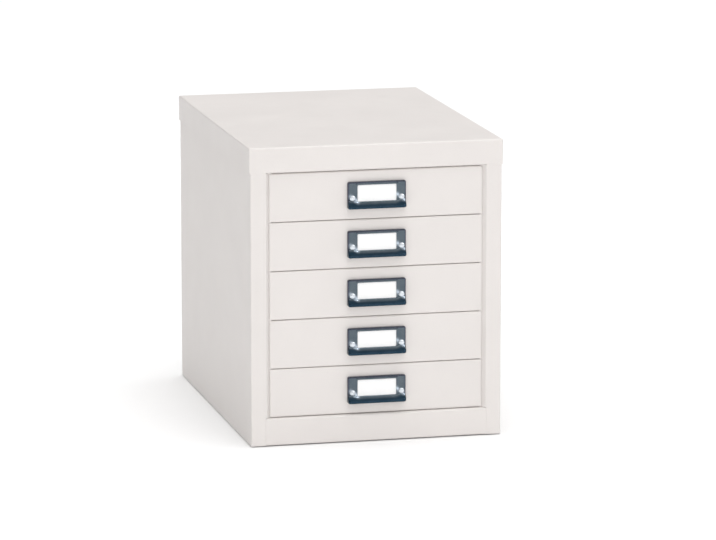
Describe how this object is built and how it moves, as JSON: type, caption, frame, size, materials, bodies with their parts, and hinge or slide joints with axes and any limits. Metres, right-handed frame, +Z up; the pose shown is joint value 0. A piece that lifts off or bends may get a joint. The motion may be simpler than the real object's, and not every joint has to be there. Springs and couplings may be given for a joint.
{
  "type": "drawer cabinet",
  "caption": "Desktop sheet-steel cabinet with a stack of equal shallow sliding drawers, each with a pressed cup pull that frames a card window.",
  "frame": {"origin": "middle of the whole outline, on the plane that the glides rest on", "axes": "+Z up, drawers face and open towards -Y, +X to the right seen from the front"},
  "size_m": [0.279, 0.385, 0.325],
  "materials": {
    "powder_coat": "warm off-white fine-textured powder coat, satin",
    "inner_paint": "the same powder coat inside, slightly matter",
    "runner_steel": "bright zinc-plated rolled steel",
    "pull_plating": "polished dark bluish nickel-chrome plating",
    "rivet_plating": "bright plated rivet heads",
    "card": "plain white card",
    "glide_plastic": "black moulded plastic"
  },
  "bodies": {
    "carcass": {"top_cap": "powder_coat", "left_side_panel": "powder_coat", "right_side_panel": "powder_coat", "back_panel": "powder_coat", "base_pan": "powder_coat", "left_runner_rack": "inner_paint", "right_runner_rack": "inner_paint", "left_drawer_runners": "runner_steel", "right_drawer_runners": "runner_steel", "glides": "glide_plastic"},
    "drawer1": {"drawer1_tray": "inner_paint", "drawer1_inner_wall": "inner_paint", "drawer1_rear_wall": "inner_paint", "drawer1_front": "powder_coat", "drawer1_pull": "pull_plating", "drawer1_card": "card", "drawer1_rivets": "rivet_plating"},
    "drawer2": {"drawer2_tray": "inner_paint", "drawer2_inner_wall": "inner_paint", "drawer2_rear_wall": "inner_paint", "drawer2_front": "powder_coat", "drawer2_pull": "pull_plating", "drawer2_card": "card", "drawer2_rivets": "rivet_plating"},
    "drawer3": {"drawer3_tray": "inner_paint", "drawer3_inner_wall": "inner_paint", "drawer3_rear_wall": "inner_paint", "drawer3_front": "powder_coat", "drawer3_pull": "pull_plating", "drawer3_card": "card", "drawer3_rivets": "rivet_plating"},
    "drawer4": {"drawer4_tray": "inner_paint", "drawer4_inner_wall": "inner_paint", "drawer4_rear_wall": "inner_paint", "drawer4_front": "powder_coat", "drawer4_pull": "pull_plating", "drawer4_card": "card", "drawer4_rivets": "rivet_plating"},
    "drawer5": {"drawer5_tray": "inner_paint", "drawer5_inner_wall": "inner_paint", "drawer5_rear_wall": "inner_paint", "drawer5_front": "powder_coat", "drawer5_pull": "pull_plating", "drawer5_card": "card", "drawer5_rivets": "rivet_plating"}
  },
  "joints": [
    {"name": "drawer1_slide", "type": "slide", "parent": "carcass", "child": "drawer1", "axis": [0, -1, 0], "range_m": [0, 0.29]},
    {"name": "drawer2_slide", "type": "slide", "parent": "carcass", "child": "drawer2", "axis": [0, -1, 0], "range_m": [0, 0.29]},
    {"name": "drawer3_slide", "type": "slide", "parent": "carcass", "child": "drawer3", "axis": [0, -1, 0], "range_m": [0, 0.29]},
    {"name": "drawer4_slide", "type": "slide", "parent": "carcass", "child": "drawer4", "axis": [0, -1, 0], "range_m": [0, 0.29]},
    {"name": "drawer5_slide", "type": "slide", "parent": "carcass", "child": "drawer5", "axis": [0, -1, 0], "range_m": [0, 0.29]}
  ]
}
